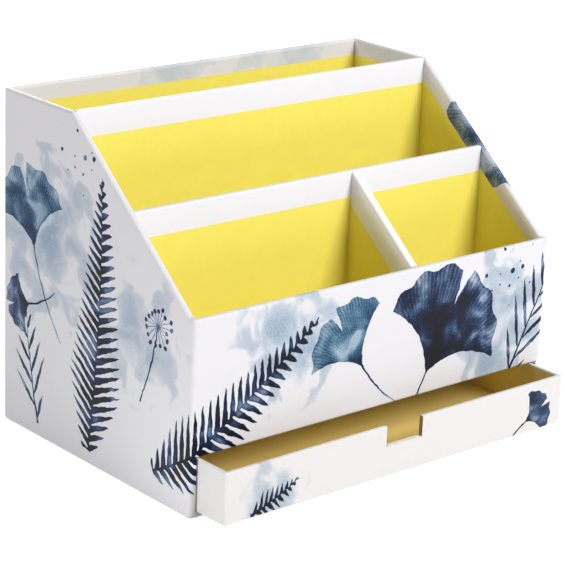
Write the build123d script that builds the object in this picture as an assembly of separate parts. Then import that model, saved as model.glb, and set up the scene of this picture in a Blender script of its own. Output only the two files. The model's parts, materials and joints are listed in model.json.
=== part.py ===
"""Letter holder with a drawer: greyboard panels covered in printed paper, pockets lined in plain paper.

The case stands on z = 0 with its base centred on the origin. X is its width and -Y is its front.
The drawer is drawn part of the way out, as it stands in use.
"""
import os
from math import atan, sqrt, tan

from build123d import *

# Case, outside sizes in millimetres
CASE_WIDTH = 250.0
CASE_DEPTH = 167.0
BACK_HEIGHT = 187.0
FRONT_HEIGHT = 105.5
LEVEL_TOP_DEPTH = 63.0

# Greyboard and paper
WALL_BOARD = 3.0
CROSS_BOARD = 4.0
DRAWER_BOARD = 2.0
PAPER = 0.3

# Softened edges of the covered boards
CORNER_RADIUS = 3.0
RIM_RADIUS = 1.5
RIM_BEND_RADIUS = 2.0
FOOT_RADIUS = 1.5
EDGING_RADIUS = 1.0
DRAWER_CORNER_RADIUS = 1.5
DRAWER_RIM_RADIUS = 0.7

# Dividers
MIDDLE_DIVIDER_FROM_FRONT = 54.0
CROSS_DIVIDER_OFFSET = 25.5

# Paper turned in over the edges
WALL_BAND = 9.5
DIVIDER_BAND = 14.5
MOUTH_BAND = 10.0
DRAWER_BAND = 1.0

# Drawer, its bay and its finger notch
BAY_HEIGHT = 29.0
DRAWER_SIDE_GAP = 0.9
DRAWER_FLOOR_GAP = 0.3
DRAWER_ROOF_GAP = 0.8
DRAWER_BACK_GAP = 1.4
DRAWER_PULL = 22.0
NOTCH_WIDTH = 25.0
NOTCH_DEPTH = 11.2

# Planes of the case: the outside, the boards' inner faces, and the papered inner faces
WALL = WALL_BOARD + 2 * PAPER
SIDE = CASE_WIDTH / 2
SIDE_FACE = SIDE - WALL
SIDE_BOARD_FACE = SIDE_FACE + PAPER
FRONT = -CASE_DEPTH / 2
FRONT_FACE = FRONT + WALL
FRONT_BOARD_FACE = FRONT_FACE - PAPER
BACK = CASE_DEPTH / 2
BACK_FACE = BACK - WALL
BACK_BOARD_FACE = BACK_FACE + PAPER
BETWEEN_SIDES = (-SIDE_BOARD_FACE, SIDE_BOARD_FACE)
BETWEEN_ENDS = (FRONT_BOARD_FACE, BACK_BOARD_FACE)
BASE_BOARD_TOP = PAPER + WALL_BOARD
BASE_TOP = BASE_BOARD_TOP + PAPER
BAY_ROOF = BASE_TOP + BAY_HEIGHT
DECK_BOTTOM = BAY_ROOF + PAPER
DECK_TOP = DECK_BOTTOM + WALL_BOARD
ABOVE = BACK_HEIGHT + WALL

# Rim of the side walls: level over the front wall, a slope, then level behind the tall divider
TALL_FRONT = BACK - LEVEL_TOP_DEPTH
SLOPE_FOOT = FRONT_FACE + RIM_BEND_RADIUS / 2
SLOPE = atan((BACK_HEIGHT - FRONT_HEIGHT) / (TALL_FRONT - SLOPE_FOOT))

# Dividers: the middle one reaches the slope with its front edge
MIDDLE_FRONT = FRONT + MIDDLE_DIVIDER_FROM_FRONT
MIDDLE_HEIGHT = FRONT_HEIGHT + (MIDDLE_FRONT - SLOPE_FOOT) * tan(SLOPE)
CROSS_BOARD_X = (CROSS_DIVIDER_OFFSET - CROSS_BOARD / 2, CROSS_DIVIDER_OFFSET + CROSS_BOARD / 2)

# Drawer, closed, with its front flush with the case
TRAY_SIDE = SIDE_FACE - DRAWER_SIDE_GAP
TRAY_BACK = BACK_FACE - DRAWER_BACK_GAP
TRAY_BOTTOM = BASE_TOP + DRAWER_FLOOR_GAP
TRAY_WALLS_BOTTOM = TRAY_BOTTOM + PAPER
TRAY_FLOOR = TRAY_WALLS_BOTTOM + DRAWER_BOARD
TRAY_RIM = BAY_ROOF - DRAWER_ROOF_GAP
TRAY_WALL = DRAWER_BOARD + 2 * PAPER

# A flat across a square edge touches a round of radius 1 when it takes this much off each side
FLAT_ON_ROUND = 2 - sqrt(2)

# Edges nearer than this to a plane lie in it
SAME_PLACE = 0.01


def block(x, y, z):
    """Box between a low and a high limit on each axis."""
    box = Box(x[1] - x[0], y[1] - y[0], z[1] - z[0])
    return Pos((x[0] + x[1]) / 2, (y[0] + y[1]) / 2, (z[0] + z[1]) / 2) * box


def grown(span, amount):
    """A pair of limits moved apart, or together for a negative amount."""
    return (span[0] - amount, span[1] + amount)


def under_rim(drop, x, y, bends=True):
    """Prism between limits in x and y that fills the side profile up to a line below the rim."""
    shift = drop * tan(SLOPE / 2)
    low = FRONT_HEIGHT - drop
    high = BACK_HEIGHT - drop
    slope = [(SLOPE_FOOT + shift, low), (TALL_FRONT + shift, high)]
    radii = [RIM_BEND_RADIUS + drop, RIM_BEND_RADIUS - drop] if bends else [0, 0]
    front_corners = [(FRONT - WALL, PAPER), (FRONT - WALL, low)]
    back_corners = [(BACK + WALL, high), (BACK + WALL, PAPER)]
    outline = FilletPolyline(
        *front_corners, *slope, *back_corners, radius=[0, 0, *radii, 0, 0], close=True
    )
    prism = extrude(Plane.YZ.offset(x[0]) * make_face(outline), x[1] - x[0])
    return prism & block(x, y, (PAPER, ABOVE))


def soften(edges, radius, inset):
    """Rounds the edges of a covered wall; on its bare boards they are pressed flat to suit that round."""
    if inset:
        return chamfer(edges, (radius - inset) * FLAT_ON_ROUND)
    return fillet(edges, radius)


def at(edges, axis, place):
    """Those of the edges whose middle lies at a place along an axis."""
    return edges.filter_by_position(axis, place - SAME_PLACE, place + SAME_PLACE)


def envelope(inset):
    """The whole case as one block under its rim, with soft corners; an inset gives the bare boards."""
    width = CASE_WIDTH - 2 * inset
    depth = CASE_DEPTH - 2 * inset
    plan = RectangleRounded(width, depth, CORNER_RADIUS - inset)
    body = extrude(Pos(0, 0, PAPER) * plan, ABOVE)
    body &= under_rim(inset, (-SIDE, SIDE), (FRONT, BACK))
    foot = at(body.edges(), Axis.Z, PAPER)
    body = chamfer(foot, FOOT_RADIUS - inset) if inset else fillet(foot, FOOT_RADIUS)
    edges = body.edges().filter_by(Axis.Z, reverse=True).filter_by_position(Axis.Z, DECK_TOP, ABOVE)
    inner_kinks = edges.filter_by(Axis.X).filter_by_position(Axis.Y, FRONT_FACE, BACK_FACE)
    return soften([e for e in edges if e not in inner_kinks], RIM_RADIUS, inset)


def lying_edges(solid, y, z):
    """Straight edges along X at a given depth and height."""
    return at(at(solid.edges().filter_by(Axis.X), Axis.Y, y), Axis.Z, z)


def side_wall(body, inset):
    """Left wall out of an envelope, with its inner rim rounded between the front and back walls."""
    face = -SIDE_FACE - inset
    halfway = -SIDE + WALL / 2
    between = (FRONT_FACE, BACK_FACE)
    wall = body & block((-SIDE, face), (FRONT, BACK), (0, ABOVE))
    inner_half = under_rim(inset, (halfway, face), between)
    rim = at(inner_half.edges(), Axis.X, face).filter_by(Axis.Z, reverse=True)
    inner_half = soften(rim.sort_by(Axis.Z)[1:], RIM_RADIUS, inset)
    return wall - block((halfway, face), between, (0, ABOVE)) + inner_half


def front_wall(body, inset):
    """Front wall out of an envelope, down to the drawer bay, with its other long edges rounded."""
    face = FRONT_FACE - inset
    wall = body & block(BETWEEN_SIDES, (FRONT, face), (BAY_ROOF + inset, ABOVE))
    inner_rim = lying_edges(wall, face, FRONT_HEIGHT - inset)
    foot = lying_edges(wall, FRONT + inset, BAY_ROOF + inset)
    return soften(inner_rim + foot, RIM_RADIUS, inset)


def back_wall(body, inset):
    """Back wall out of an envelope, with its inner rim rounded."""
    face = BACK_FACE + inset
    wall = body & block(BETWEEN_SIDES, (face, BACK), (0, ABOVE))
    return soften(lying_edges(wall, face, BACK_HEIGHT - inset), RIM_RADIUS, inset)


def divider(front, top, inset):
    """Divider across the case, standing on the deck, with both rims rounded."""
    y = (front + inset, front + WALL - inset)
    top -= inset
    plate = block(BETWEEN_SIDES, y, (DECK_TOP, top))
    return soften(lying_edges(plate, y[0], top) + lying_edges(plate, y[1], top), EDGING_RADIUS, inset)


def cross_divider(inset):
    """Divider from the front wall to the middle divider, with a sloping rim."""
    x = grown(CROSS_BOARD_X, PAPER - inset)
    y = (FRONT_BOARD_FACE, MIDDLE_FRONT + PAPER) if inset else (FRONT_FACE, MIDDLE_FRONT)
    plate = under_rim(inset, x, y) - block(x, y, (0, DECK_TOP))
    sides = at(plate.edges(), Axis.X, x[0]) + at(plate.edges(), Axis.X, x[1])
    rim = sides.filter_by(Axis.Z, reverse=True).filter_by_position(Axis.Z, DECK_TOP + WALL, ABOVE)
    return soften(rim, EDGING_RADIUS, inset)


def pocket_liner(x, y, tops, bands):
    """Plain paper over a pocket's floor and walls; x and y are the board faces that bound the pocket."""
    between = grown(y, -PAPER)
    below = block(x, y, (0, DECK_TOP))
    liner = block(x, y, (DECK_TOP, DECK_TOP + PAPER))
    liner += block(x, (y[0], y[0] + PAPER), (DECK_TOP, tops[0]))
    liner += block(x, (y[1] - PAPER, y[1]), (DECK_TOP, tops[1]))
    liner += under_rim(bands[0], (x[0], x[0] + PAPER), between, bends=False) - below
    liner += under_rim(bands[1], (x[1] - PAPER, x[1]), between, bends=False) - below
    return liner


def tray_walls(inset):
    """The drawer's four walls as one ring, with soft corners and rims."""
    inner_x = (-TRAY_SIDE + TRAY_WALL - inset, TRAY_SIDE - TRAY_WALL + inset)
    inner_y = (FRONT + TRAY_WALL - inset, TRAY_BACK - TRAY_WALL + inset)
    rim = TRAY_RIM - inset
    plan = RectangleRounded(
        2 * (TRAY_SIDE - inset), TRAY_BACK - FRONT - 2 * inset, DRAWER_CORNER_RADIUS - inset
    )
    ring = extrude(Pos(0, (FRONT + TRAY_BACK) / 2, TRAY_WALLS_BOTTOM) * plan, rim - TRAY_WALLS_BOTTOM)
    ring -= block(inner_x, inner_y, (TRAY_WALLS_BOTTOM, rim))
    return soften(at(ring.edges(), Axis.Z, rim), DRAWER_RIM_RADIUS, inset)


def notch(margin):
    """Finger notch through the drawer's front wall, opened by a margin for the paper that lines it."""
    half = NOTCH_WIDTH / 2 + margin
    return block((-half, half), (FRONT, FRONT + TRAY_WALL), (TRAY_RIM - NOTCH_DEPTH - margin, BAY_ROOF))


# Walls of the case, covered and bare
covered = envelope(0)
bare = envelope(PAPER)
left_covered = side_wall(covered, 0)
left_board = side_wall(bare, PAPER)
front_board = front_wall(bare, PAPER)
back_board = back_wall(bare, PAPER)
tall_board = divider(TALL_FRONT, BACK_HEIGHT, PAPER)
middle_board = divider(MIDDLE_FRONT, MIDDLE_HEIGHT, PAPER)
cross_board = cross_divider(PAPER)
base_board = bare & block(BETWEEN_SIDES, (FRONT, BACK_BOARD_FACE), (PAPER, BASE_BOARD_TOP))
base_board = soften(lying_edges(base_board, FRONT + PAPER, BASE_BOARD_TOP), EDGING_RADIUS, PAPER)
deck_board = block(BETWEEN_SIDES, BETWEEN_ENDS, (DECK_BOTTOM, DECK_TOP))

# Side wrap: outer sheet, rim, and the turned-in bands that show in the pockets and at the drawer's mouth
sheet_x = (-SIDE_BOARD_FACE, -SIDE_FACE)
inner_sheet = left_covered & block(sheet_x, (FRONT_FACE, BACK_FACE), (0, ABOVE))
side_bands = inner_sheet - under_rim(WALL_BAND, sheet_x, (FRONT, BACK), bends=False)
for divider_front in (TALL_FRONT, MIDDLE_FRONT):
    side_bands -= block(sheet_x, (divider_front, divider_front + WALL), (0, ABOVE))
mouth_side = block(sheet_x, (FRONT, FRONT + MOUTH_BAND), (BASE_TOP, BAY_ROOF))
left_wrap = (left_covered & block((-SIDE, -SIDE_BOARD_FACE), (FRONT, BACK), (0, ABOVE))) - left_board
left_wrap += side_bands
left_wrap += mouth_side

# Front, back and base wraps
front_sheet_y = (FRONT_BOARD_FACE, FRONT_FACE)
front_wrap = front_wall(covered, 0) - front_board - cross_board
front_wrap -= block(BETWEEN_SIDES, front_sheet_y, (BAY_ROOF, FRONT_HEIGHT - WALL_BAND))
front_wrap += block(BETWEEN_SIDES, (FRONT_BOARD_FACE, FRONT + MOUTH_BAND), (BAY_ROOF, DECK_BOTTOM))
back_wrap = back_wall(covered, 0) - back_board
back_wrap -= block(BETWEEN_SIDES, (BACK_FACE, BACK_BOARD_FACE), (0, BACK_HEIGHT - WALL_BAND))
base_strip = covered & block(BETWEEN_SIDES, (FRONT, FRONT + MOUTH_BAND), (PAPER, BASE_TOP))
base_strip = soften(lying_edges(base_strip, FRONT, BASE_TOP), EDGING_RADIUS, 0) - base_board
base_plan = RectangleRounded(
    CASE_WIDTH - 2 * FOOT_RADIUS, CASE_DEPTH - 2 * FOOT_RADIUS, CORNER_RADIUS - FOOT_RADIUS
)
base_sheet = extrude(base_plan, PAPER)

# Edging folded over each divider's rim
tall_edging = divider(TALL_FRONT, BACK_HEIGHT, 0) - tall_board
tall_edging -= block(BETWEEN_SIDES, (FRONT, BACK), (0, BACK_HEIGHT - DIVIDER_BAND))
middle_edging = divider(MIDDLE_FRONT, MIDDLE_HEIGHT, 0) - middle_board - cross_board
middle_edging -= block(BETWEEN_SIDES, (FRONT, BACK), (0, MIDDLE_HEIGHT - DIVIDER_BAND))
cross_edging = cross_divider(0) - cross_board
cross_edging -= under_rim(DIVIDER_BAND, grown(CROSS_BOARD_X, PAPER), (FRONT, BACK), bends=False)

# Liners of the pockets and of the drawer's bay
tall_band = BACK_HEIGHT - DIVIDER_BAND
middle_band = MIDDLE_HEIGHT - DIVIDER_BAND
tray_y = (FRONT_BOARD_FACE, MIDDLE_FRONT + PAPER)
tray_tops = (FRONT_HEIGHT - WALL_BAND, middle_band)
rear_liner = pocket_liner(
    BETWEEN_SIDES, (TALL_FRONT + WALL - PAPER, BACK_BOARD_FACE),
    (tall_band, BACK_HEIGHT - WALL_BAND), (WALL_BAND, WALL_BAND),
)
middle_liner = pocket_liner(
    BETWEEN_SIDES, (MIDDLE_FRONT + WALL - PAPER, TALL_FRONT + PAPER),
    (middle_band, tall_band), (WALL_BAND, WALL_BAND),
)
left_tray_liner = pocket_liner(
    (-SIDE_BOARD_FACE, CROSS_BOARD_X[0]), tray_y, tray_tops, (WALL_BAND, DIVIDER_BAND)
)
right_tray_liner = pocket_liner(
    (CROSS_BOARD_X[1], SIDE_BOARD_FACE), tray_y, tray_tops, (DIVIDER_BAND, WALL_BAND)
)
bay_liner = block(BETWEEN_SIDES, (FRONT + MOUTH_BAND, BACK_BOARD_FACE), (BASE_BOARD_TOP, DECK_BOTTOM))
bay_liner -= block((-SIDE_FACE, SIDE_FACE), (FRONT, BACK_FACE), (BASE_TOP, BAY_ROOF))

# Drawer
tray_boards = tray_walls(PAPER) - notch(PAPER)
tray_inner_x = (-TRAY_SIDE + TRAY_WALL - PAPER, TRAY_SIDE - TRAY_WALL + PAPER)
tray_inner_y = (FRONT + TRAY_WALL - PAPER, TRAY_BACK - TRAY_WALL + PAPER)
tray_height = (TRAY_BOTTOM, BAY_ROOF)
drawer_left_board = tray_boards & block((-TRAY_SIDE, tray_inner_x[0]), (FRONT, TRAY_BACK), tray_height)
drawer_right_board = tray_boards & block((tray_inner_x[1], TRAY_SIDE), (FRONT, TRAY_BACK), tray_height)
drawer_front_board = tray_boards & block(tray_inner_x, (FRONT, tray_inner_y[0]), tray_height)
drawer_back_board = tray_boards & block(tray_inner_x, (tray_inner_y[1], TRAY_BACK), tray_height)
drawer_bottom_board = block(tray_inner_x, tray_inner_y, (TRAY_WALLS_BOTTOM, TRAY_FLOOR))
tray_covered = tray_walls(0)
drawer_wrap = tray_covered - tray_walls(PAPER) - notch(PAPER)
drawer_wrap -= block(tray_inner_x, tray_inner_y, (TRAY_BOTTOM, TRAY_RIM - DRAWER_BAND))
drawer_liner = block(tray_inner_x, tray_inner_y, (TRAY_FLOOR, TRAY_RIM - DRAWER_BAND))
drawer_space = (TRAY_FLOOR + PAPER, BAY_ROOF)
drawer_liner -= block(grown(tray_inner_x, -PAPER), grown(tray_inner_y, -PAPER), drawer_space)
drawer_liner -= notch(PAPER)
drawer_liner += (tray_covered & notch(PAPER)) - notch(0)
drawer_plan = RectangleRounded(2 * TRAY_SIDE, TRAY_BACK - FRONT, DRAWER_CORNER_RADIUS)
drawer_base_sheet = extrude(Pos(0, (FRONT + TRAY_BACK) / 2, TRAY_BOTTOM) * drawer_plan, PAPER)

case_nodes = {
    "left_side_board": left_board,
    "right_side_board": mirror(left_board, Plane.YZ),
    "back_board": back_board,
    "front_board": front_board,
    "base_board": base_board,
    "deck_board": deck_board,
    "tall_divider_board": tall_board,
    "middle_divider_board": middle_board,
    "cross_divider_board": cross_board,
    "left_side_wrap": left_wrap,
    "right_side_wrap": mirror(left_wrap, Plane.YZ),
    "back_wrap": back_wrap,
    "front_wrap": front_wrap,
    "base_sheet": base_sheet,
    "base_edge_strip": base_strip,
    "tall_divider_edging": tall_edging,
    "middle_divider_edging": middle_edging,
    "cross_divider_edging": cross_edging,
    "rear_pocket_liner": rear_liner,
    "middle_pocket_liner": middle_liner,
    "left_tray_liner": left_tray_liner,
    "right_tray_liner": right_tray_liner,
    "bay_liner": bay_liner,
}
drawer_nodes = {
    "drawer_left_board": drawer_left_board,
    "drawer_right_board": drawer_right_board,
    "drawer_front_board": drawer_front_board,
    "drawer_back_board": drawer_back_board,
    "drawer_bottom_board": drawer_bottom_board,
    "drawer_wrap": drawer_wrap,
    "drawer_liner": drawer_liner,
    "drawer_base_sheet": drawer_base_sheet,
}

os.makedirs("parts", exist_ok=True)
for name, shape in case_nodes.items():
    export_step(shape, f"parts/{name}.step")
for name, shape in drawer_nodes.items():
    export_step(Pos(0, -DRAWER_PULL, 0) * shape, f"parts/{name}.step")
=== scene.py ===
"""Finishes, print, light and camera for a paper-covered letter holder with a drawer.

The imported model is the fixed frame: every board, wrap, edging and liner is there at its real size.
Each operator finishes one group of pieces, and the last one sets the stage.
"""
import functools
import json
import math
from typing import Callable, NamedTuple

import bpy
from mathutils import Matrix, Vector


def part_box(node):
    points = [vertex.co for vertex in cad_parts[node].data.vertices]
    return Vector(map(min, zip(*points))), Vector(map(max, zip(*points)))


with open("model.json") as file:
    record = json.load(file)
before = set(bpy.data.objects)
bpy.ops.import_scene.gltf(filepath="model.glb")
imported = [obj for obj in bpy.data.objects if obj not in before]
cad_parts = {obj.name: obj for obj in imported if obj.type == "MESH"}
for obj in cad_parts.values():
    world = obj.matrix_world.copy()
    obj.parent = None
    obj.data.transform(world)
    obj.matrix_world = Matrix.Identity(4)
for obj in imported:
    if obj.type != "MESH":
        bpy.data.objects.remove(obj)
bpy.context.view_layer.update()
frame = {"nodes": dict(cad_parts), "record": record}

bl_info = {
    "name": "Letter holder finishes",
    "version": (1, 0, 0),
    "blender": (4, 5, 0),
    "location": "3D View > Sidebar > Letter holder",
    "description": "Covers, prints, lines and lights a paper-covered letter holder with a drawer",
    "category": "Object",
}

# Patterns are drawn in millimetres
MM = 1000.0

# Planes of the case, read from its nodes
CASE_LOW, CASE_HIGH = (Vector(corner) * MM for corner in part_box("left_side_wrap"))
SIDE = -CASE_LOW.x
FRONT = CASE_LOW.y
BACK = CASE_HIGH.y
BACK_HEIGHT = CASE_HIGH.z
FRONT_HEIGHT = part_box("front_wrap")[1].z * MM
WALL = (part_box("back_wrap")[1].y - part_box("back_wrap")[0].y) * MM
TALL_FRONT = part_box("tall_divider_edging")[0].y * MM
SLOPE = math.atan((BACK_HEIGHT - FRONT_HEIGHT) / (TALL_FRONT - FRONT - WALL))

# Finger notch in the drawer's front wall: the inner face of that wall's board, and the notch's right side
OPENINGS = {opening["name"]: opening["box_m"] for opening in frame["record"]["physics"]["openings"]}
NOTCH_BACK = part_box("drawer_front_board")[1].y * MM
NOTCH_SIDE = OPENINGS["finger_notch"][1][0] * MM


def linear(hex_colour):
    """Linear colour of an sRGB hex value."""
    channels = (int(hex_colour[i:i + 2], 16) / 255 for i in (0, 2, 4))
    return tuple(c / 12.92 if c <= 0.04045 else ((c + 0.055) / 1.055) ** 2.4 for c in channels)


def colour_setting(name, description, hex_colour):
    """A colour that a user can change. It stays above black, because an ink's strength is its logarithm."""
    return bpy.props.FloatVectorProperty(
        name=name, description=description, subtype="COLOR", default=linear(hex_colour), min=0.001, max=1.0,
    )


class PaperColours(bpy.types.PropertyGroup):
    """Colours of the papers and the board."""

    art_paper: colour_setting("Art paper", "Unprinted white of the case's wraps", "DCDBDD")
    drawer_paper: colour_setting("Drawer paper", "Warmer unprinted white of the drawer's wrap", "DDDBD8")
    edging: colour_setting("Edging", "White paper folded over the dividers", "E7E7EB")
    liner: colour_setting("Liner", "Dyed yellow paper inside the pockets", "F2E466")
    # The drawer liner is the pockets' yellow paper tinted golden: the tint is painted shade, the warm tan
    # the paper takes in the drawer's shade
    drawer_liner: colour_setting("Drawer liner", "Dyed golden paper inside the drawer", "F8DE8A")
    base: colour_setting("Base paper", "Plain paper under the case and the drawer", "ECE9E3")
    cut_edge: colour_setting("Cut edge", "Brown board at the sides of the finger notch", "7A6240")
    board: colour_setting("Greyboard", "Raw recycled board", "A39E95")


class PrintInks(bpy.types.PropertyGroup):
    """Inks of the print, each as it looks at full strength on white paper, and the grain of the washes."""

    indigo: colour_setting("Indigo", "Dark ink of stems and leaves", "1B2F50")
    teal: colour_setting("Teal", "Blue-green ink of broad leaves", "416987")
    mist: colour_setting("Mist", "Pale ink of the background washes", "AEC3D4")
    wet_size: bpy.props.FloatProperty(
        name="Wet patches", description="Width of the patches where a wash ran",
        default=0.017, min=0.001, unit="LENGTH",
    )
    grain_size: bpy.props.FloatProperty(
        name="Granulation", description="Width of the grains where pigment settled",
        default=0.0011, min=0.0001, unit="LENGTH",
    )


class Studio(bpy.types.PropertyGroup):
    """Camera and lamps."""

    lens: bpy.props.FloatProperty(
        name="Lens", description="Focal length on a 36 mm sensor", default=140.48, min=1.0, unit="CAMERA",
    )
    place: bpy.props.FloatVectorProperty(
        name="Camera place", description="Where the camera stands", subtype="TRANSLATION",
        default=(-0.75446, -0.86830, 0.45888),
    )
    heading: bpy.props.FloatProperty(
        name="Heading", description="Turn to the right from looking along +Y",
        subtype="ANGLE", default=0.7172,
    )
    dip: bpy.props.FloatProperty(
        name="Dip", description="How far the camera looks down", subtype="ANGLE", default=0.3190,
    )
    roll: bpy.props.FloatProperty(
        name="Roll", description="Turn about the line of sight", subtype="ANGLE", default=0.0419,
    )
    key_power: bpy.props.FloatProperty(
        name="Key lamp", description="Soft lamp in front, high on the right",
        default=50.5, min=0.0, unit="POWER",
    )
    fill_power: bpy.props.FloatProperty(
        name="Fill lamp", description="Low lamp far to the left", default=29.0, min=0.0, unit="POWER",
    )
    back_power: bpy.props.FloatProperty(
        name="Back lamp", description="Soft lamp behind, on the right", default=18.0, min=0.0, unit="POWER",
    )
    card_power: bpy.props.FloatProperty(
        name="Card", description="Small white card beside the drawer's left end",
        default=0.032, min=0.0, unit="POWER",
    )
    ambient: bpy.props.FloatProperty(
        name="Ambient", description="Brightness of the white room", default=0.25, min=0.0,
    )
    floor_lift: bpy.props.FloatProperty(
        name="Floor lift", description="Brightness added to the floor as the camera sees it",
        default=0.75, min=0.0,
    )


# Sockets of a Mix node that mixes vectors, which share their names with its other kinds
MIX_SHARE = 0
MIX_FIRST = 4
MIX_SECOND = 5
MIX_RESULT = 1


def put(tree, kind, inputs=(), out=0, **settings):
    """Adds a shader node with its settings, and links or sets its inputs, given in order or by key."""
    node = tree.nodes.new("ShaderNode" + kind)
    for name, value in settings.items():
        setattr(node, name, value)
    given = inputs.items() if isinstance(inputs, dict) else enumerate(inputs)
    for key, value in given:
        if isinstance(value, bpy.types.NodeSocket):
            tree.links.new(value, node.inputs[key])
        else:
            node.inputs[key].default_value = value
    return node.outputs[out]


# Ink on wet paper: the share of its dark edge that is left per mm inwards, and how strong each effect is
POOL_FADE = 0.22
POOL_STRENGTH = 0.55
WET_RANGE = 1.3
WET_FLOOR = 0.25
GRAIN_RANGE = 0.4
GRAIN_FLOOR = 0.8


def start_motif(name, sizes):
    """Starts a motif's node group, in the motif's own frame: its foot at the origin, its axis along +Y."""
    tree = bpy.data.node_groups.new(name, "ShaderNodeTree")
    for label in ("Point", "Place", "Turn", "Ink", "Absorbed"):
        tree.interface.new_socket(label, in_out="INPUT", socket_type="NodeSocketVector")
    for label in ("Wet", "Grain", "Tone", "Feather", *sizes):
        tree.interface.new_socket(label, in_out="INPUT", socket_type="NodeSocketFloat")
    tree.interface.new_socket("Absorbed", in_out="OUTPUT", socket_type="NodeSocketVector")
    given = tree.nodes.new("NodeGroupInput").outputs
    local = put(tree, "Mapping", (given["Point"], given["Place"], given["Turn"]), vector_type="TEXTURE")
    return tree, given, local


def finish_motif(tree, given, depth, shade=1.0):
    """Lays ink where the depth inside the motif is positive; shade varies it over the motif."""
    cover = put(tree, "Math", (depth, given["Feather"]), operation="DIVIDE", use_clamp=True)
    inside = put(tree, "Math", (depth, 0.0), operation="MAXIMUM")
    pool = put(tree, "Math", (POOL_FADE, inside), operation="POWER")
    wet = put(tree, "Math", (given["Wet"], WET_RANGE, WET_FLOOR), operation="MULTIPLY_ADD")
    grain = put(tree, "Math", (given["Grain"], GRAIN_RANGE, GRAIN_FLOOR), operation="MULTIPLY_ADD")
    body = put(tree, "Math", (wet, grain), operation="MULTIPLY")
    film = put(tree, "Math", (pool, POOL_STRENGTH, body), operation="MULTIPLY_ADD")
    laid = put(tree, "Math", (film, cover), operation="MULTIPLY")
    laid = put(tree, "Math", (laid, shade), operation="MULTIPLY")
    laid = put(tree, "Math", (laid, given["Tone"]), operation="MULTIPLY")
    absorbed = put(tree, "VectorMath", (given["Ink"], laid, given["Absorbed"]), operation="MULTIPLY_ADD")
    outlet = tree.nodes.new("NodeGroupOutput")
    tree.links.new(absorbed, outlet.inputs["Absorbed"])
    return tree


# A sprig: how its leaves alternate and grow along the stem, the stem's half width in mm, and its ink
LEAF_STAGGER = 0.25
LEAF_DWINDLE = 0.7
FOOT_LEAF = 0.3
FOOT_GROWTH = 4.0
SHORTEST_LEAF = 0.05
LEAF_TRIM = 0.12
STEM_HALF = 0.95
STEM_TAPER = -0.7
SPRIG_INK = 1.15
SPRIG_FADE = -0.45


def sprig_motif():
    """A bending stem with leaves on both sides, from a close fern to a loose willow."""
    sizes = ("Length", "Reach", "Pitch", "Lean", "Bend", "Leaf", "Root", "Tip")
    tree, given, local = start_motif("sprig", sizes)
    parts = put(tree, "SeparateXYZ", (local,)).node.outputs
    along = put(tree, "Math", (parts["Y"], given["Length"]), operation="DIVIDE")
    bow = put(tree, "Math", (along, along), operation="MULTIPLY")
    bow = put(tree, "Math", (bow, given["Bend"]), operation="MULTIPLY")
    across = put(tree, "Math", (parts["X"], bow), operation="SUBTRACT")
    out = put(tree, "Math", (across,), operation="ABSOLUTE")
    side = put(tree, "Math", (across,), operation="SIGN")
    # Leaves lean towards the tip, and those of the two sides alternate
    rise = put(tree, "Math", (out, given["Lean"]), operation="MULTIPLY")
    root = put(tree, "Math", (parts["Y"], rise), operation="SUBTRACT")
    count = put(tree, "Math", (root, given["Pitch"]), operation="DIVIDE")
    count = put(tree, "Math", (side, LEAF_STAGGER, count), operation="MULTIPLY_ADD")
    off = put(tree, "Math", (count,), operation="FRACT")
    off = put(tree, "Math", (off, 0.5), operation="SUBTRACT")
    off = put(tree, "Math", (off, given["Pitch"]), operation="MULTIPLY")
    foot = put(tree, "Math", (root, off), operation="SUBTRACT")
    foot = put(tree, "Math", (foot, given["Length"]), operation="DIVIDE")
    # Leaves are short at the stem's foot, long above it, and dwindle to the tip
    left = put(tree, "Math", (1.0, foot), operation="SUBTRACT", use_clamp=True)
    reach = put(tree, "Math", (left, LEAF_DWINDLE), operation="POWER")
    young = put(tree, "Math", (foot, FOOT_GROWTH, FOOT_LEAF), operation="MULTIPLY_ADD", use_clamp=True)
    reach = put(tree, "Math", (reach, young), operation="MULTIPLY")
    reach = put(tree, "Math", (reach, given["Reach"]), operation="MULTIPLY")
    reach = put(tree, "Math", (reach, SHORTEST_LEAF), operation="MAXIMUM")
    gone = put(tree, "Math", (out, reach), operation="DIVIDE", use_clamp=True)
    rest = put(tree, "Math", (1.0, gone), operation="SUBTRACT")
    swell = put(tree, "Math", (gone, given["Root"]), operation="POWER")
    taper = put(tree, "Math", (rest, given["Tip"]), operation="POWER")
    half = put(tree, "Math", (swell, taper), operation="MULTIPLY")
    half = put(tree, "Math", (half, given["Leaf"]), operation="MULTIPLY")
    off = put(tree, "Math", (off,), operation="ABSOLUTE")
    leaf = put(tree, "Math", (half, off), operation="SUBTRACT")
    leaf = put(tree, "Math", (leaf, LEAF_TRIM), operation="SUBTRACT")
    stem = put(tree, "Math", (along, STEM_TAPER, STEM_HALF), operation="MULTIPLY_ADD")
    stem = put(tree, "Math", (stem, out), operation="SUBTRACT")
    depth = put(tree, "Math", (leaf, stem), operation="MAXIMUM")
    beyond = put(tree, "Math", (given["Length"], parts["Y"]), operation="SUBTRACT")
    depth = put(tree, "Math", (depth, beyond), operation="MINIMUM")
    depth = put(tree, "Math", (depth, parts["Y"]), operation="MINIMUM")
    # Ink thins towards the leaves' tips
    shade = put(tree, "Math", (gone, SPRIG_FADE, SPRIG_INK), operation="MULTIPLY_ADD")
    return finish_motif(tree, given, depth, shade)


# Stalks of fan leaves and seed heads, in mm: half their width, and how far a fan leaf's runs into the leaf
STALK_HALF = 0.6
FAN_STALK_TOP = 2.0

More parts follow.
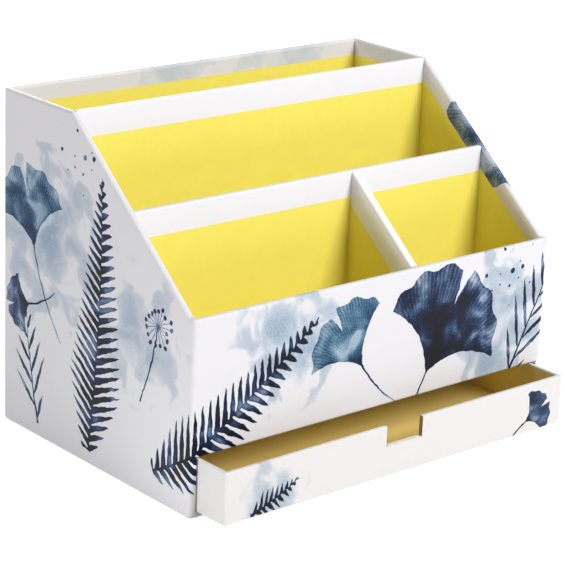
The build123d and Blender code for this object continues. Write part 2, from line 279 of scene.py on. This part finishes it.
# A fan leaf, in shares of its size: its margin, cleft and sides, its stalk, and its ink and veins
SHOULDER_TURN = 1.05
SHOULDER_RISE = 0.34
SHOULDER_FOOT = 0.68
CLEFT_TAPER = -14.0
CLEFT_DEPTH = -0.34
MARGIN_WAVES = 19.0
MARGIN_WAVE = 0.022
FLARE_GROWTH = 0.62
FLARE_FOOT = 0.42
FAN_STALK_BOW = -0.22
FAN_STALK_LENGTH = 1.15
FAN_INK = 1.45
FAN_FADE = -0.95
FAN_VEINS = 118.0
VEIN_INK = 0.13


def fan_motif():
    """A fan leaf on a stalk, cleft in the middle, with veins that spread from its foot."""
    tree, given, local = start_motif("fan", ("Size", "Spread"))
    parts = put(tree, "SeparateXYZ", (local,)).node.outputs
    radius = put(tree, "VectorMath", (local,), out="Value", operation="LENGTH")
    share = put(tree, "Math", (radius, given["Size"]), operation="DIVIDE")
    angle = put(tree, "Math", (parts["X"], parts["Y"]), operation="ARCTAN2")
    wide = put(tree, "Math", (angle,), operation="ABSOLUTE")
    # Outer edge: rounded shoulders, a cleft in the middle and a wavy margin
    shoulder = put(tree, "Math", (wide, SHOULDER_TURN), operation="MULTIPLY")
    shoulder = put(tree, "Math", (shoulder,), operation="COSINE")
    edge = put(tree, "Math", (shoulder, SHOULDER_RISE, SHOULDER_FOOT), operation="MULTIPLY_ADD")
    cleft = put(tree, "Math", (wide, CLEFT_TAPER, 1.0), operation="MULTIPLY_ADD", use_clamp=True)
    edge = put(tree, "Math", (cleft, CLEFT_DEPTH, edge), operation="MULTIPLY_ADD")
    wave = put(tree, "Math", (angle, MARGIN_WAVES), operation="MULTIPLY")
    wave = put(tree, "Math", (wave,), operation="SINE")
    edge = put(tree, "Math", (wave, MARGIN_WAVE, edge), operation="MULTIPLY_ADD")
    out = put(tree, "Math", (edge, share), operation="SUBTRACT")
    out = put(tree, "Math", (out, given["Size"]), operation="MULTIPLY")
    # Sides flare outwards in a hollow curve
    flare = put(tree, "Math", (share, FLARE_GROWTH, FLARE_FOOT), operation="MULTIPLY_ADD")
    flare = put(tree, "Math", (flare, given["Spread"]), operation="MULTIPLY")
    flare = put(tree, "Math", (flare, wide), operation="SUBTRACT")
    flare = put(tree, "Math", (flare, radius), operation="MULTIPLY")
    blade = put(tree, "Math", (out, flare), operation="MINIMUM")
    bow = put(tree, "Math", (parts["Y"], parts["Y"]), operation="MULTIPLY")
    bow = put(tree, "Math", (bow, given["Size"]), operation="DIVIDE")
    stalk = put(tree, "Math", (bow, FAN_STALK_BOW, parts["X"]), operation="MULTIPLY_ADD")
    stalk = put(tree, "Math", (stalk,), operation="ABSOLUTE")
    stalk = put(tree, "Math", (STALK_HALF, stalk), operation="SUBTRACT")
    foot = put(tree, "Math", (given["Size"], FAN_STALK_LENGTH, parts["Y"]), operation="MULTIPLY_ADD")
    stalk = put(tree, "Math", (stalk, foot), operation="MINIMUM")
    above = put(tree, "Math", (FAN_STALK_TOP, parts["Y"]), operation="SUBTRACT")
    stalk = put(tree, "Math", (stalk, above), operation="MINIMUM")
    depth = put(tree, "Math", (blade, stalk), operation="MAXIMUM")
    # Ink runs out from the foot along the veins
    vein = put(tree, "Math", (angle, FAN_VEINS), operation="MULTIPLY")
    vein = put(tree, "Math", (vein,), operation="SINE")
    shade = put(tree, "Math", (share, FAN_FADE, FAN_INK), operation="MULTIPLY_ADD")
    shade = put(tree, "Math", (vein, VEIN_INK, shade), operation="MULTIPLY_ADD")
    return finish_motif(tree, given, depth, shade)


# A seed head: rays round its middle, the seeds at their ends, and the bow of its stalk
SEED_RAYS = 17
SHORT_RAY = 0.6
RAY_VARIETY = 0.4
RAY_HALF = 0.3
SEED_HALF = 1.35
SEED_STALK_BOW = 0.0028


def seed_head_motif():
    """A round seed head on a long stalk, its rays of uneven length with a seed at each end."""
    tree, given, local = start_motif("seed head", ("Size", "Stalk"))
    parts = put(tree, "SeparateXYZ", (local,)).node.outputs
    radius = put(tree, "VectorMath", (local,), out="Value", operation="LENGTH")
    angle = put(tree, "Math", (parts["X"], parts["Y"]), operation="ARCTAN2")
    count = put(tree, "Math", (angle, SEED_RAYS / math.tau), operation="MULTIPLY")
    ray = put(tree, "Math", (count,), operation="FLOOR")
    off = put(tree, "Math", (count,), operation="FRACT")
    off = put(tree, "Math", (off, 0.5), operation="SUBTRACT")
    off = put(tree, "Math", (off, radius), operation="MULTIPLY")
    off = put(tree, "Math", (off, math.tau / SEED_RAYS), operation="MULTIPLY")
    chance = put(tree, "TexWhiteNoise", {"W": ray}, noise_dimensions="1D")
    length = put(tree, "Math", (chance, RAY_VARIETY, SHORT_RAY), operation="MULTIPLY_ADD")
    length = put(tree, "Math", (length, given["Size"]), operation="MULTIPLY")
    past = put(tree, "Math", (radius, length), operation="SUBTRACT")
    seed = put(tree, "CombineXYZ", (off, past))
    seed = put(tree, "VectorMath", (seed,), out="Value", operation="LENGTH")
    seed = put(tree, "Math", (SEED_HALF, seed), operation="SUBTRACT")
    line = put(tree, "Math", (off,), operation="ABSOLUTE")
    line = put(tree, "Math", (RAY_HALF, line), operation="SUBTRACT")
    short = put(tree, "Math", (length, radius), operation="SUBTRACT")
    line = put(tree, "Math", (line, short), operation="MINIMUM")
    depth = put(tree, "Math", (seed, line), operation="MAXIMUM")
    bow = put(tree, "Math", (parts["Y"], parts["Y"]), operation="MULTIPLY")
    stalk = put(tree, "Math", (bow, SEED_STALK_BOW, parts["X"]), operation="MULTIPLY_ADD")
    stalk = put(tree, "Math", (stalk,), operation="ABSOLUTE")
    stalk = put(tree, "Math", (STALK_HALF, stalk), operation="SUBTRACT")
    foot = put(tree, "Math", (parts["Y"], given["Stalk"]), operation="ADD")
    stalk = put(tree, "Math", (stalk, foot), operation="MINIMUM")
    above = put(tree, "Math", (0.0, parts["Y"]), operation="SUBTRACT")
    stalk = put(tree, "Math", (stalk, above), operation="MINIMUM")
    depth = put(tree, "Math", (depth, stalk), operation="MAXIMUM")
    return finish_motif(tree, given, depth)


# A wash, in shares of its size: what stays, how far the rest ran, and how it fades outwards
WASH_CORE = 0.6
WASH_RUN = 0.75
WASH_FADE = -0.55


def wash_motif():
    """A pale round wash whose edge ran on the wet sheet."""
    tree, given, local = start_motif("wash", ("Size",))
    radius = put(tree, "VectorMath", (local,), out="Value", operation="LENGTH")
    run = put(tree, "Math", (given["Wet"], WASH_RUN, WASH_CORE), operation="MULTIPLY_ADD")
    edge = put(tree, "Math", (run, given["Size"]), operation="MULTIPLY")
    depth = put(tree, "Math", (edge, radius), operation="SUBTRACT")
    fade = put(tree, "Math", (radius, given["Size"]), operation="DIVIDE")
    shade = put(tree, "Math", (fade, WASH_FADE, 1.0), operation="MULTIPLY_ADD", use_clamp=True)
    return finish_motif(tree, given, depth, shade)


# Specks, in shares of their pitch: the largest one's radius, and how far they scatter
SPECK_RADIUS = 0.34
SPECK_SCATTER = 0.8


def speck_motif():
    """Specks flicked from a brush, thinning out from the middle."""
    tree, given, local = start_motif("specks", ("Size", "Pitch"))
    radius = put(tree, "VectorMath", (local,), out="Value", operation="LENGTH")
    far = put(tree, "Math", (radius, given["Size"]), operation="DIVIDE", use_clamp=True)
    cells = put(tree, "VectorMath", (local, given["Pitch"]), operation="DIVIDE")
    cells = {"Vector": cells, "Scale": 1.0, "Randomness": SPECK_SCATTER}
    speck = put(tree, "TexVoronoi", cells, voronoi_dimensions="2D")
    chance = put(tree, "SeparateXYZ", (speck.node.outputs["Color"],))
    chance = put(tree, "Math", (chance, far), operation="SUBTRACT")
    size = put(tree, "Math", (chance, SPECK_RADIUS), operation="MULTIPLY")
    depth = put(tree, "Math", (size, speck), operation="SUBTRACT")
    depth = put(tree, "Math", (depth, given["Pitch"]), operation="MULTIPLY")
    return finish_motif(tree, given, depth)


MOTIF_MAKERS = {
    "sprig": sprig_motif,
    "fan": fan_motif,
    "seed head": seed_head_motif,
    "wash": wash_motif,
    "specks": speck_motif,
}

# Leaf habits of the sprigs, in mm where they are lengths
FERN = {"Pitch": 5.6, "Lean": 0.55, "Leaf": 2.5, "Root": 0.0, "Tip": 0.5}
SMALL_FERN = {**FERN, "Pitch": 3.6, "Leaf": 1.6}
WILLOW = {"Pitch": 12.5, "Lean": 1.5, "Leaf": 6.4, "Root": 0.6, "Tip": 0.9}

# Crisp brush edge and soft wash edge, in mm
CRISP = 0.45
SOFT = 7.0

# Unsteady brush line: pitch and greatest width of its wander, in mm
WAVER_PITCH = 6.0
WAVER_WIDTH = 1.6

# Noise: its detail, the swirl of wet patches, and the span of values that goes from none to all of an effect
NOISE_DETAIL = 2.0
WET_SWIRL = 0.3
WET_SPAN = (0.32, 0.68)
GRAIN_SPAN = (0.3, 0.7)


class Sheet:
    """A sheet of print: where a point of the wall lies on it, and the ink laid so far."""

    def __init__(self, tree, point):
        inks = bpy.context.scene.holder_inks
        self.tree = tree
        self.inks = inks
        waver = {"Vector": point, "Scale": 1 / WAVER_PITCH, "Detail": NOISE_DETAIL}
        waver = put(tree, "TexNoise", waver, out="Color", noise_dimensions="2D")
        waver = put(tree, "VectorMath", (waver, (0.5, 0.5, 0.5)), operation="SUBTRACT")
        waver = put(tree, "VectorMath", (waver, (WAVER_WIDTH, WAVER_WIDTH, 0)), operation="MULTIPLY")
        self.point = put(tree, "VectorMath", (point, waver), operation="ADD")
        wet = {
            "Vector": point, "Scale": 1 / (inks.wet_size * MM),
            "Detail": NOISE_DETAIL, "Distortion": WET_SWIRL,
        }
        wet = put(tree, "TexNoise", wet, noise_dimensions="2D")
        self.wet = put(tree, "MapRange", (wet, *WET_SPAN))
        grain = {"Vector": point, "Scale": 1 / (inks.grain_size * MM), "Detail": NOISE_DETAIL}
        grain = put(tree, "TexNoise", grain, noise_dimensions="2D")
        self.grain = put(tree, "MapRange", (grain, *GRAIN_SPAN))
        self.absorbed = put(tree, "CombineXYZ")

    def paint(self, motif, ink, tone, place, turn=0.0, feather=CRISP, **sizes):
        """Paints one motif at a place in mm on the sheet; turn is in degrees, to the left of upright."""
        group = bpy.data.node_groups.get(motif) or MOTIF_MAKERS[motif]()
        dye = tuple(-math.log(channel) for channel in getattr(self.inks, ink))
        inputs = {
            "Point": self.point, "Wet": self.wet, "Grain": self.grain, "Absorbed": self.absorbed,
            "Place": (*place, 0.0), "Turn": (0.0, 0.0, math.radians(turn)),
            "Ink": dye, "Tone": tone, "Feather": feather, **sizes,
        }
        self.absorbed = put(self.tree, "Group", inputs, node_tree=group)

    def colour(self, paper):
        """Paper colour seen through the ink."""
        parts = put(self.tree, "SeparateXYZ", (self.absorbed,)).node.outputs
        seen = []
        for part, white in zip(parts, paper):
            through = put(self.tree, "Math", (part, -1.0), operation="MULTIPLY")
            through = put(self.tree, "Math", (through,), operation="EXPONENT")
            seen.append(put(self.tree, "Math", (through, white), operation="MULTIPLY"))
        return put(self.tree, "CombineColor", seen)


def paint_front_corners(sheet):
    """Leaves that run round the two front corners, so they are on the side sheets too."""
    sheet.paint("sprig", "indigo", 1.3, (-156, 16), -62, Length=134, Reach=25, Bend=-14, **FERN)
    sheet.paint("sprig", "indigo", 1.1, (96, 24), -24, Length=98, Reach=24, Bend=6, **WILLOW)


def paint_front(sheet):
    """Front wall: a fern from the left, fan leaves in the middle, a willow sprig to the right."""
    sheet.paint("wash", "mist", 0.8, (-62, 82), feather=SOFT, Size=32)
    sheet.paint("wash", "mist", 0.9, (88, 62), feather=SOFT, Size=40)
    sheet.paint("fan", "teal", 1.1, (-12, 58), 34, Size=40, Spread=0.92)
    sheet.paint("fan", "indigo", 1.35, (34, 44), -28, Size=60, Spread=1.16)
    paint_front_corners(sheet)
    sheet.paint("specks", "indigo", 1.0, (92, 88), Size=34, Pitch=7)


def paint_left(sheet):
    """Left wall: a tall fern in the middle, a fan leaf and a willow sprig at the back."""
    sheet.paint("wash", "mist", 0.7, (-250, 118), feather=SOFT, Size=44)
    sheet.paint("wash", "mist", 0.6, (-168, 84), feather=SOFT, Size=32)
    paint_front_corners(sheet)
    sheet.paint("sprig", "indigo", 1.3, (-212, 8), -9, Length=150, Reach=26, Bend=-14, **FERN)
    sheet.paint("fan", "teal", 1.2, (-262, 106), 14, Size=44, Spread=1.05)
    sheet.paint("fan", "indigo", 1.0, (-266, 74), 104, Size=22, Spread=1.25)
    sheet.paint("sprig", "teal", 1.3, (-258, 8), 16, Length=62, Reach=18, Bend=6, **WILLOW)
    sheet.paint("seed head", "indigo", 1.0, (-154, 94), -10, Size=12, Stalk=46)
    sheet.paint("specks", "indigo", 1.0, (-222, 162), Size=34, Pitch=7)


def paint_right(sheet):
    """Right wall: a fan leaf over the sloping rim, a fern and a seed head behind."""
    sheet.paint("wash", "mist", 0.7, (216, 90), feather=SOFT, Size=42)
    sheet.paint("fan", "indigo", 0.6, (196, 128), 44, Size=46, Spread=1.1)
    paint_front_corners(sheet)
    sheet.paint("sprig", "indigo", 1.1, (262, 8), 12, Length=150, Reach=26, Bend=14, **FERN)
    sheet.paint("sprig", "teal", 1.3, (186, 8), -12, Length=74, Reach=20, Bend=8, **WILLOW)
    sheet.paint("seed head", "indigo", 1.0, (226, 66), 12, Size=13, Stalk=56)


def paint_back(sheet):
    """Back wall: a fern and a willow sprig, fan leaves between them, and washes that run over the rim."""
    sheet.paint("wash", "mist", 0.26, (-70, 186), feather=CRISP, Size=34)
    sheet.paint("wash", "mist", 0.26, (12, 190), feather=CRISP, Size=26)
    sheet.paint("wash", "mist", 0.6, (66, 92), feather=SOFT, Size=40)
    sheet.paint("sprig", "indigo", 1.0, (-104, 8), -10, Length=150, Reach=28, Bend=-14, **FERN)
    sheet.paint("sprig", "teal", 1.1, (96, 8), 12, Length=120, Reach=24, Bend=10, **WILLOW)
    sheet.paint("fan", "teal", 0.9, (-4, 70), 14, Size=48, Spread=1.12)
    sheet.paint("fan", "indigo", 0.7, (46, 44), -80, Size=24, Spread=0.95)
    sheet.paint("seed head", "indigo", 1.0, (-40, 60), 8, Size=13, Stalk=50)


def paint_drawer(sheet):
    """Drawer: a few small leaves on plain white."""
    sheet.paint("wash", "mist", 0.6, (-90, 15), feather=SOFT, Size=20)
    sheet.paint("fan", "indigo", 1.1, (92, 10), -62, Size=20, Spread=1.1)
    sheet.paint("sprig", "indigo", 1.0, (-104, 5), -74, Length=34, Reach=10, Bend=-4, **SMALL_FERN)


class PrintedWall(NamedTuple):
    """A wall's print: what paints it, how x and y run along its sheet, which way is inwards, where its outer
    face lies that way, and a point and the angle of its rim line on the sheet."""

    paint: Callable
    along: tuple
    inwards: tuple
    outer: float
    rim: tuple
    slope: float


PRINTED_WALLS = {
    "left_side_wrap": PrintedWall(
        paint_left, along=(1, -1), inwards=(1, 0), outer=-SIDE,
        rim=(-SIDE - WALL, FRONT_HEIGHT), slope=math.pi - SLOPE,
    ),
    "right_side_wrap": PrintedWall(
        paint_right, along=(1, 1), inwards=(-1, 0), outer=-SIDE,
        rim=(SIDE + WALL, FRONT_HEIGHT), slope=SLOPE,
    ),
    "front_wrap": PrintedWall(
        paint_front, along=(1, 0), inwards=(0, 1), outer=FRONT,
        rim=(0, FRONT_HEIGHT), slope=0.0,
    ),
    "back_wrap": PrintedWall(
        paint_back, along=(-1, 0), inwards=(0, -1), outer=-BACK,
        rim=(0, BACK_HEIGHT), slope=0.0,
    ),
}


def object_point(tree):
    """Point of the piece in millimetres."""
    point = put(tree, "TexCoord", out="Object")
    return put(tree, "VectorMath", (point, (MM, MM, MM)), operation="MULTIPLY")


def wall_point(wall, tree):
    """Where a point of a wall lies on its printed sheet, which turns in over the rim."""
    point = object_point(tree)
    run = put(tree, "VectorMath", (point, (*wall.along, 0)), out="Value", operation="DOT_PRODUCT")
    run = put(tree, "Math", (run, -FRONT * wall.along[1]), operation="ADD")
    parts = put(tree, "SeparateXYZ", (point,)).node.outputs
    flat = put(tree, "CombineXYZ", (run, parts["Z"]))
    deep = put(tree, "VectorMath", (point, (*wall.inwards, 0)), out="Value", operation="DOT_PRODUCT")
    inside = put(tree, "Math", (deep, wall.outer + WALL / 2), operation="GREATER_THAN")
    # A side wall's front end is still outside
    behind = put(tree, "Math", (parts["Y"], FRONT + WALL / 2), operation="GREATER_THAN")
    inside = put(tree, "Math", (inside, behind), operation="MINIMUM")
    # The inner face is the outer sheet folded over at the rim line
    rim = Vector(wall.rim)
    fold = Matrix.Rotation(2 * wall.slope, 2) @ Matrix.Diagonal((1, -1))
    upwards = Vector((-math.sin(wall.slope), math.cos(wall.slope)))
    upwards *= math.copysign(WALL, upwards.y)
    shift = rim - fold @ rim + upwards
    turned = put(tree, "Mapping", (flat, (*shift, 0), (0, 0, 2 * wall.slope), (1, -1, 1)))
    choice = {MIX_SHARE: inside, MIX_FIRST: flat, MIX_SECOND: turned}
    return put(tree, "Mix", choice, out=MIX_RESULT, data_type="VECTOR")


def drawer_point(tree):
    """Where a point of the drawer's front lies on its printed sheet."""
    parts = put(tree, "SeparateXYZ", (object_point(tree),)).node.outputs
    return put(tree, "CombineXYZ", (parts["X"], parts["Z"]))


# Papers: the low sheen that they share, and the film over the print
PAPER_SHEEN = 0.15
FILM_ROUGHNESS = 0.45

# Wave that glue leaves in a wrap: its width in mm, and its height in metres
GLUE_WAVE = 40.0
GLUE_WAVE_HEIGHT = 0.001
GLUE_WAVE_STRENGTH = 0.25

# Uncoated paper: the width of its clouds in mm, the span of their noise, and the tooth's height in metres
CLOUD = 9.0
CLOUD_DETAIL = 3.0
CLOUD_SPAN = (0.6, 1.4)
TOOTH_HEIGHT = 0.0001
TOOTH_STRENGTH = 0.2


def new_material(name):
    """An empty material with a Principled shader, and its tree."""
    material = bpy.data.materials.new(name)
    material.use_nodes = True
    tree = material.node_tree
    tree.nodes.clear()
    shader = tree.nodes.new("ShaderNodeBsdfPrincipled")
    outlet = tree.nodes.new("ShaderNodeOutputMaterial")
    tree.links.new(shader.outputs["BSDF"], outlet.inputs["Surface"])
    return material, tree, shader


def printed_art_paper(name, white, point_of, paint):
    """Coated art paper, offset printed and film laminated: a smooth white with a low even sheen, flat inks
    that follow the surface, and a slight wave where the glue drew the sheet onto the board."""
    material, tree, shader = new_material(name)
    sheet = Sheet(tree, point_of(tree))
    paint(sheet)
    tree.links.new(sheet.colour(white), shader.inputs["Base Color"])
    shader.inputs["Roughness"].default_value = FILM_ROUGHNESS
    shader.inputs["Specular IOR Level"].default_value = PAPER_SHEEN
    wave = put(tree, "TexNoise", {"Vector": object_point(tree), "Scale": 1 / GLUE_WAVE, "Detail": 1.0})
    wave = {"Strength": GLUE_WAVE_STRENGTH, "Distance": GLUE_WAVE_HEIGHT, "Height": wave}
    tree.links.new(put(tree, "Bump", wave), shader.inputs["Normal"])
    return material


def plain_paper(name, colour, roughness, fibre, mottle):
    """Uncoated paper or board: matt, with a faint fibre tooth, and clouds that darken it by a share, mottle.
    The tooth is drawn at fibre mm, coarser than the real one, so that it shows."""
    material, tree, shader = new_material(name)
    point = object_point(tree)
    cloud = put(tree, "TexNoise", {"Vector": point, "Scale": 1 / CLOUD, "Detail": CLOUD_DETAIL})
    tooth = put(tree, "TexNoise", {"Vector": point, "Scale": 1 / fibre, "Detail": NOISE_DETAIL})
    tone = put(tree, "Math", (cloud, tooth), operation="ADD")
    tone = put(tree, "MapRange", (tone, *CLOUD_SPAN, 1 - mottle, 1.0))
    tint = put(tree, "VectorMath", (tuple(colour), tone), operation="MULTIPLY")
    tree.links.new(tint, shader.inputs["Base Color"])
    shader.inputs["Roughness"].default_value = roughness
    shader.inputs["Specular IOR Level"].default_value = PAPER_SHEEN
    tooth = {"Strength": TOOTH_STRENGTH, "Distance": TOOTH_HEIGHT, "Height": tooth}
    tree.links.new(put(tree, "Bump", tooth), shader.inputs["Normal"])
    return material


def edge_notch(material, foot, side):
    """Shows the notch's edges on the liner: the wrap turned in over its foot, bare board at its sides."""
    tree = material.node_tree
    colour = tree.nodes["Principled BSDF"].inputs["Base Color"]
    tint = colour.links[0].from_socket
    parts = put(tree, "SeparateXYZ", (object_point(tree),)).node.outputs
    in_wall = put(tree, "Math", (parts["Y"], NOTCH_BACK), operation="LESS_THAN")
    off = put(tree, "Math", (parts["X"],), operation="ABSOLUTE")
    at_side = put(tree, "Math", (off, NOTCH_SIDE), operation="GREATER_THAN")
    edge = {MIX_SHARE: at_side, MIX_FIRST: foot, MIX_SECOND: side}
    edge = put(tree, "Mix", edge, out=MIX_RESULT, data_type="VECTOR")
    tint = {MIX_SHARE: in_wall, MIX_FIRST: tint, MIX_SECOND: edge}
    tint = put(tree, "Mix", tint, out=MIX_RESULT, data_type="VECTOR")
    tree.links.new(tint, colour)


def dress(material, *nodes):
    """Gives nodes of the frame a material."""
    for name in nodes:
        piece = frame["nodes"][name]
        piece.data.materials.clear()
        piece.data.materials.append(material)


class HOLDER_OT_cover_case(bpy.types.Operator):
    """Covers the case's four walls in printed paper"""

    bl_idname = "holder.cover_case"
    bl_label = "Cover the case"

    def execute(self, context):
        white = context.scene.holder_papers.art_paper
        for node, wall in PRINTED_WALLS.items():
            point_of = functools.partial(wall_point, wall)
            dress(printed_art_paper(f"art_paper_{node}", white, point_of, wall.paint), node)
        return {"FINISHED"}


class HOLDER_OT_cover_drawer(bpy.types.Operator):
    """Covers the drawer's walls in printed paper"""

    bl_idname = "holder.cover_drawer"
    bl_label = "Cover the drawer"

    def execute(self, context):
        white = context.scene.holder_papers.drawer_paper
        dress(printed_art_paper("art_paper_drawer", white, drawer_point, paint_drawer), "drawer_wrap")
        return {"FINISHED"}


class HOLDER_OT_edge_dividers(bpy.types.Operator):
    """Folds white paper over the dividers' rims and the base's front edge"""

    bl_idname = "holder.edge_dividers"
    bl_label = "Edge the dividers"

    def execute(self, context):
        # Smooth white paper, folded and glued: a clean bright edge with hardly any tone in it
        colour = context.scene.holder_papers.edging
        dress(
            plain_paper("white_edging_paper", colour, roughness=0.5, fibre=0.7, mottle=0.02),
            "tall_divider_edging", "middle_divider_edging", "cross_divider_edging", "base_edge_strip",
        )
        return {"FINISHED"}


class HOLDER_OT_line_pockets(bpy.types.Operator):
    """Lines the pockets and trays in yellow paper, and the drawer in the same paper tinted golden, which is
    painted shade
    """

    bl_idname = "holder.line_pockets"
    bl_label = "Line the pockets"

    def execute(self, context):
        # Dyed cover papers: an even matt colour, deeper in the corners, where one wall colours the next
        papers = context.scene.holder_papers
        dress(
            plain_paper("yellow_liner_paper", papers.liner, roughness=0.6, fibre=0.7, mottle=0.05),
            "rear_pocket_liner", "middle_pocket_liner", "left_tray_liner", "right_tray_liner",
        )
        # The same yellow paper lines the drawer, tinted golden: painted shade, the tan it takes in the
        # drawer's shade
        liner_with_painted_shade = plain_paper(
            "golden_liner_paper", papers.drawer_liner, roughness=0.6, fibre=0.7, mottle=0.05,
        )
        edge_notch(liner_with_painted_shade, papers.drawer_paper, papers.cut_edge)
        dress(liner_with_painted_shade, "drawer_liner")
        return {"FINISHED"}


class HOLDER_OT_paper_base(bpy.types.Operator):
    """Papers the undersides and the drawer's bay"""

    bl_idname = "holder.paper_base"
    bl_label = "Paper the base"

    def execute(self, context):
        # Uncoated backing paper: a warm dull white, slightly cloudy
        colour = context.scene.holder_papers.base
        dress(
            plain_paper("plain_base_paper", colour, roughness=0.8, fibre=0.8, mottle=0.06),
            "base_sheet", "drawer_base_sheet", "bay_liner",
        )
        return {"FINISHED"}


class HOLDER_OT_finish_boards(bpy.types.Operator):
    """Gives the boards under the paper their raw grey finish"""

    bl_idname = "holder.finish_boards"
    bl_label = "Finish the boards"

    def execute(self, context):
        # Recycled greyboard: dull grey with coarse, uneven fibre
        colour = context.scene.holder_papers.board
        boards = [name for name in frame["nodes"] if name.endswith("_board")]
        dress(plain_paper("greyboard", colour, roughness=0.9, fibre=1.2, mottle=0.2), *boards)
        return {"FINISHED"}


# Stage, in metres: floor, room, lamps with their width and height, what they face, and the camera's reach
FLOOR_WIDTH = 8.0
FLOOR_GAP = 0.0002
FLOOR_WHITE = linear("E7E7E7")
FLOOR_ROUGHNESS = 0.9
ROOM_WHITE = linear("F5F2FB")
KEY_PLACE = (0.52, -1.68, 1.5)
KEY_SIZE = (0.9, 1.2)
FILL_PLACE = (-3.0, 0.2, 0.45)
FILL_SIZE = (0.2, 0.2)
BACK_PLACE = (0.8, 1.8, 0.8)
BACK_SIZE = (1.0, 1.0)
CARD_PLACE = (-0.24, -0.11, 0.02)
CARD_SIZE = (0.07, 0.05)
CASE_MIDDLE = (0.0, 0.0, 0.08)
DRAWER_END = (-0.12, -0.1, 0.02)
FAR = 50.0


class HOLDER_OT_set_stage(bpy.types.Operator):
    """Sets a white floor, a white room, the lamps and the camera"""

    bl_idname = "holder.set_stage"
    bl_label = "Set the stage"

    def execute(self, context):
        studio = context.scene.holder_studio
        self.lay_floor(context, studio)
        self.light_room(context, studio)
        self.hang_lamp(context, "key_lamp", KEY_PLACE, CASE_MIDDLE, KEY_SIZE, studio.key_power)
        self.hang_lamp(context, "fill_lamp", FILL_PLACE, CASE_MIDDLE, FILL_SIZE, studio.fill_power)
        self.hang_lamp(context, "back_lamp", BACK_PLACE, CASE_MIDDLE, BACK_SIZE, studio.back_power)
        self.hang_lamp(context, "card_lamp", CARD_PLACE, DRAWER_END, CARD_SIZE, studio.card_power)
        self.place_camera(context, studio)
        context.scene.view_settings.view_transform = "Standard"
        return {"FINISHED"}

    def seen(self, tree):
        """1 on rays that reach the eye straight or by a reflection."""
        path = put(tree, "LightPath").node.outputs
        seen = put(tree, "Math", (path["Is Camera Ray"], path["Is Glossy Ray"]), operation="MAXIMUM")
        return put(tree, "Math", (seen, path["Is Transmission Ray"]), operation="MAXIMUM")

    def lay_floor(self, context, studio):
        """Matt white paper sweep: no gloss, and only a soft shadow at the case's foot."""
        mesh = bpy.data.meshes.new("floor")
        half = FLOOR_WIDTH / 2
        corners = [(-half, -half), (half, -half), (half, half), (-half, half)]
        mesh.from_pydata([(x, y, -FLOOR_GAP) for x, y in corners], [], [(0, 1, 2, 3)])
        floor = bpy.data.objects.new("floor", mesh)
        context.scene.collection.objects.link(floor)
        material, tree, shader = new_material("white_paper_sweep")
        shader.inputs["Base Color"].default_value = (*FLOOR_WHITE, 1)
        shader.inputs["Roughness"].default_value = FLOOR_ROUGHNESS
        lift = put(tree, "Math", (self.seen(tree), studio.floor_lift), operation="MULTIPLY")
        glow = put(tree, "Emission", {"Strength": lift})
        both = put(tree, "AddShader", (shader.outputs["BSDF"], glow))
        tree.links.new(both, tree.nodes["Material Output"].inputs["Surface"])
        mesh.materials.append(material)

    def light_room(self, context, studio):
        """A room that lights the case dimly and evenly, and looks white."""
        world = bpy.data.worlds.new("white_room")
        world.use_nodes = True
        tree = world.node_tree
        tree.nodes.clear()
        room = put(tree, "Background", ((*ROOM_WHITE, 1), studio.ambient))
        white = put(tree, "Background", ((1, 1, 1, 1), 1.0))
        mixed = put(tree, "MixShader", (self.seen(tree), room, white))
        outlet = tree.nodes.new("ShaderNodeOutputWorld")
        tree.links.new(mixed, outlet.inputs["Surface"])
        context.scene.world = world

    def hang_lamp(self, context, name, place, aim, size, power):
        """A soft flat lamp that the camera doesn't see."""
        lamp = bpy.data.lights.new(name, "AREA")
        lamp.energy = power
        lamp.shape = "RECTANGLE"
        lamp.size, lamp.size_y = size
        holder = bpy.data.objects.new(name, lamp)
        holder.location = place
        holder.rotation_euler = (Vector(aim) - Vector(place)).to_track_quat("-Z", "Y").to_euler()
        holder.visible_camera = False
        context.scene.collection.objects.link(holder)

    def place_camera(self, context, studio):
        """A long lens that looks down on the case from its front left."""
        data = bpy.data.cameras.new("camera")
        data.lens = studio.lens
        data.clip_end = FAR
        camera = bpy.data.objects.new("camera", data)
        turn = Matrix.Rotation(-studio.heading, 3, "Z") @ Matrix.Rotation(math.pi / 2 - studio.dip, 3, "X")
        turn = turn @ Matrix.Rotation(studio.roll, 3, "Z")
        camera.matrix_world = Matrix.LocRotScale(Vector(studio.place), turn.to_quaternion(), None)
        context.scene.collection.objects.link(camera)
        context.scene.camera = camera


SETTINGS = {"holder_papers": PaperColours, "holder_inks": PrintInks, "holder_studio": Studio}
OPERATORS = (
    HOLDER_OT_cover_case,
    HOLDER_OT_cover_drawer,
    HOLDER_OT_edge_dividers,
    HOLDER_OT_line_pockets,
    HOLDER_OT_paper_base,
    HOLDER_OT_finish_boards,
    HOLDER_OT_set_stage,
)


class HOLDER_PT_panel(bpy.types.Panel):
    """Lists the steps and the settings"""

    bl_idname = "HOLDER_PT_panel"
    bl_label = "Letter holder"
    bl_space_type = "VIEW_3D"
    bl_region_type = "UI"
    bl_category = "Letter holder"

    def draw(self, context):
        for operator in OPERATORS:
            self.layout.operator(operator.bl_idname)
        for name, group in SETTINGS.items():
            box = self.layout.box()
            for setting in group.__annotations__:
                box.prop(getattr(context.scene, name), setting)


def register():
    for cls in (*SETTINGS.values(), *OPERATORS, HOLDER_PT_panel):
        bpy.utils.register_class(cls)
    for name, cls in SETTINGS.items():
        setattr(bpy.types.Scene, name, bpy.props.PointerProperty(type=cls))


def unregister():
    for name in SETTINGS:
        delattr(bpy.types.Scene, name)
    for cls in (HOLDER_PT_panel, *reversed(OPERATORS), *reversed(SETTINGS.values())):
        bpy.utils.unregister_class(cls)


def main():
    register()
    bpy.ops.holder.cover_case()
    bpy.ops.holder.cover_drawer()
    bpy.ops.holder.edge_dividers()
    bpy.ops.holder.line_pockets()
    bpy.ops.holder.paper_base()
    bpy.ops.holder.finish_boards()
    bpy.ops.holder.set_stage()


if __name__ == "__main__":
    main()
